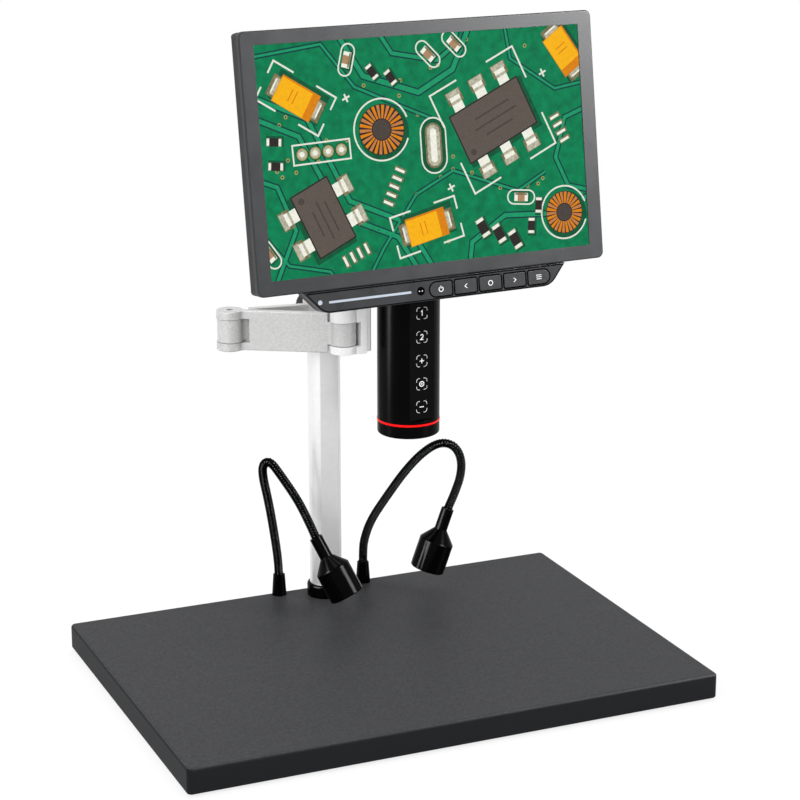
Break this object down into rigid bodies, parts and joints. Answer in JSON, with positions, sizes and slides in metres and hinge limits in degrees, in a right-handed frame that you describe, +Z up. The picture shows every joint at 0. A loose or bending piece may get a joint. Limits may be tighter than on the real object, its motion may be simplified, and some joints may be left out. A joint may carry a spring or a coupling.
{
  "type": "digital microscope with display",
  "caption": "Desk microscope with a built-in display: flat base board, column with a folding swing arm, upright camera tube, tilting screen with keys, and gooseneck lamps.",
  "frame": {"origin": "middle of the foot pad's underside, on the surface that the base stands on", "axes": "+X to the user's right, +Y to the back, +Z up"},
  "size_m": [0.33, 0.2439, 0.3886],
  "materials": {
    "foot_rubber": "matte",
    "base_finish": "fine matte",
    "column_aluminium": "satin anodised",
    "arm_aluminium": "fine blasted",
    "plate_aluminium": "satin",
    "foot_block_aluminium": "milled",
    "fastener_steel": "machined",
    "washer_nylon": "matte",
    "liner_nylon": "matte",
    "boot_plastic": "satin",
    "cap_plastic": "matte",
    "knob_plastic": "matte",
    "lamp_metal": "satin black",
    "neck_sheath": "satin black",
    "lamp_lens_clear": "clear",
    "circuit_green": "solder mask",
    "inlet_plastic": "matte",
    "tube_gloss": "gloss black",
    "touch_glass": "gloss black",
    "ring_red": "gloss",
    "nose_gloss": "gloss black",
    "lens_black": "black anodised",
    "lens_glass": "coated",
    "bezel_plastic": "satin",
    "cover_plastic": "fine texture",
    "display_glass": "lit picture",
    "backlight_metal": "sheet",
    "strip_plastic": "satin",
    "key_plastic": "satin",
    "led_lens": "diffusing",
    "ir_plastic": "gloss",
    "port_metal": "plated"
  },
  "bodies": {
    "base": {"base_pad": "foot_rubber", "base_board": "base_finish", "column": "column_aluminium", "column_foot": "foot_block_aluminium", "column_screws": "fastener_steel", "column_boot": "boot_plastic", "column_cap": "cap_plastic", "lamp_ferrules": "lamp_metal", "power_inlet": "inlet_plastic"},
    "carriage": {"rear_arm": "arm_aluminium", "sleeve_liner": "liner_nylon", "elbow_washers": "washer_nylon"},
    "clamp": {"clamp_knob": "knob_plastic", "clamp_stud": "fastener_steel"},
    "forearm": {"front_arm": "arm_aluminium", "elbow_pin": "fastener_steel", "wrist_washers": "washer_nylon"},
    "head": {"wrist_bracket": "plate_aluminium", "wrist_pin": "fastener_steel", "mount_plate": "plate_aluminium", "mount_screws": "fastener_steel", "tube_shell": "tube_gloss", "touch_strip": "touch_glass", "touch_board": "circuit_green", "red_ring": "ring_red", "nose_cap": "nose_gloss", "lens_barrel": "lens_black", "front_lens": "lens_glass", "sensor_board": "circuit_green", "tube_cap": "cap_plastic", "tilt_shaft": "fastener_steel", "tilt_washers": "washer_nylon"},
    "monitor": {"front_bezel": "bezel_plastic", "lcd_panel": "display_glass", "backlight": "backlight_metal", "rear_cover": "cover_plastic", "control_strip": "strip_plastic", "main_board": "circuit_green", "key_board": "circuit_green", "status_led": "led_lens", "light_bar": "led_lens", "ir_window": "ir_plastic", "cover_screws": "fastener_steel", "rear_ports": "port_metal"},
    "power_key": {"key_power": "key_plastic"},
    "left_key": {"key_left": "key_plastic"},
    "ok_key": {"key_ok": "key_plastic"},
    "right_key": {"key_right": "key_plastic"},
    "menu_key": {"key_menu": "key_plastic"},
    "left_gooseneck": {"left_neck": "neck_sheath"},
    "left_lamp": {"left_lamp_shell": "lamp_metal", "left_lamp_ring": "lamp_metal", "left_lamp_lens": "lamp_lens_clear", "left_led_board": "circuit_green"},
    "right_gooseneck": {"right_neck": "neck_sheath"},
    "right_lamp": {"right_lamp_shell": "lamp_metal", "right_lamp_ring": "lamp_metal", "right_lamp_lens": "lamp_lens_clear", "right_led_board": "circuit_green"}
  },
  "joints": [
    {"name": "carriage_slide", "type": "slide", "parent": "base", "child": "carriage", "axis": [0, 0, 1], "range_m": [-0.012, 0.055]},
    {"name": "clamp_turn", "type": "hinge", "parent": "carriage", "child": "clamp", "pos_m": [0.0016, 0.1245, 0.2038], "axis": [0, 1, 0], "range_deg": [-270, 0]},
    {"name": "elbow_swing", "type": "hinge", "parent": "carriage", "child": "forearm", "pos_m": [-0.05797, 0.10761, 0.1976], "axis": [0, 0, 1], "range_deg": [-110, 0]},
    {"name": "wrist_swing", "type": "hinge", "parent": "forearm", "child": "head", "pos_m": [0.00316, 0.07189, 0.1976], "axis": [0, 0, 1], "range_deg": [-60, 30]},
    {"name": "monitor_tilt", "type": "hinge", "parent": "head", "child": "monitor", "pos_m": [0.04462, 0.05338, 0.268], "axis": [0.9973, 0.0732, 0], "range_deg": [-20, 8]},
    {"name": "power_key_press", "type": "slide", "parent": "monitor", "child": "power_key", "axis": [-0.0725, 0.9866, -0.1461], "range_m": [0, 0.0006], "stiffness_N_per_m": 1500, "springref_m": -0.0004},
    {"name": "left_key_press", "type": "slide", "parent": "monitor", "child": "left_key", "axis": [-0.0725, 0.9866, -0.1461], "range_m": [0, 0.0006], "stiffness_N_per_m": 1500, "springref_m": -0.0004},
    {"name": "ok_key_press", "type": "slide", "parent": "monitor", "child": "ok_key", "axis": [-0.0725, 0.9866, -0.1461], "range_m": [0, 0.0006], "stiffness_N_per_m": 1500, "springref_m": -0.0004},
    {"name": "right_key_press", "type": "slide", "parent": "monitor", "child": "right_key", "axis": [-0.0725, 0.9866, -0.1461], "range_m": [0, 0.0006], "stiffness_N_per_m": 1500, "springref_m": -0.0004},
    {"name": "menu_key_press", "type": "slide", "parent": "monitor", "child": "menu_key", "axis": [-0.0725, 0.9866, -0.1461], "range_m": [0, 0.0006], "stiffness_N_per_m": 1500, "springref_m": -0.0004},
    {"name": "left_gooseneck_swing", "type": "hinge", "parent": "base", "child": "left_gooseneck", "pos_m": [-0.027, 0.111, 0.031], "axis": [0, 0, 1], "range_deg": [-40, 10]},
    {"name": "left_lamp_tilt", "type": "hinge", "parent": "left_gooseneck", "child": "left_lamp", "pos_m": [-0.0165, 0.0723, 0.067], "axis": [-0.6971, -0.717, 0], "range_deg": [-15, 12]},
    {"name": "right_gooseneck_swing", "type": "hinge", "parent": "base", "child": "right_gooseneck", "pos_m": [0.0316, 0.111, 0.031], "axis": [0, 0, 1], "range_deg": [-10, 40]},
    {"name": "right_lamp_tilt", "type": "hinge", "parent": "right_gooseneck", "child": "right_lamp", "pos_m": [0.0762, 0.0757, 0.0722], "axis": [0.0892, 0.996, 0], "range_deg": [-15, 12]}
  ]
}
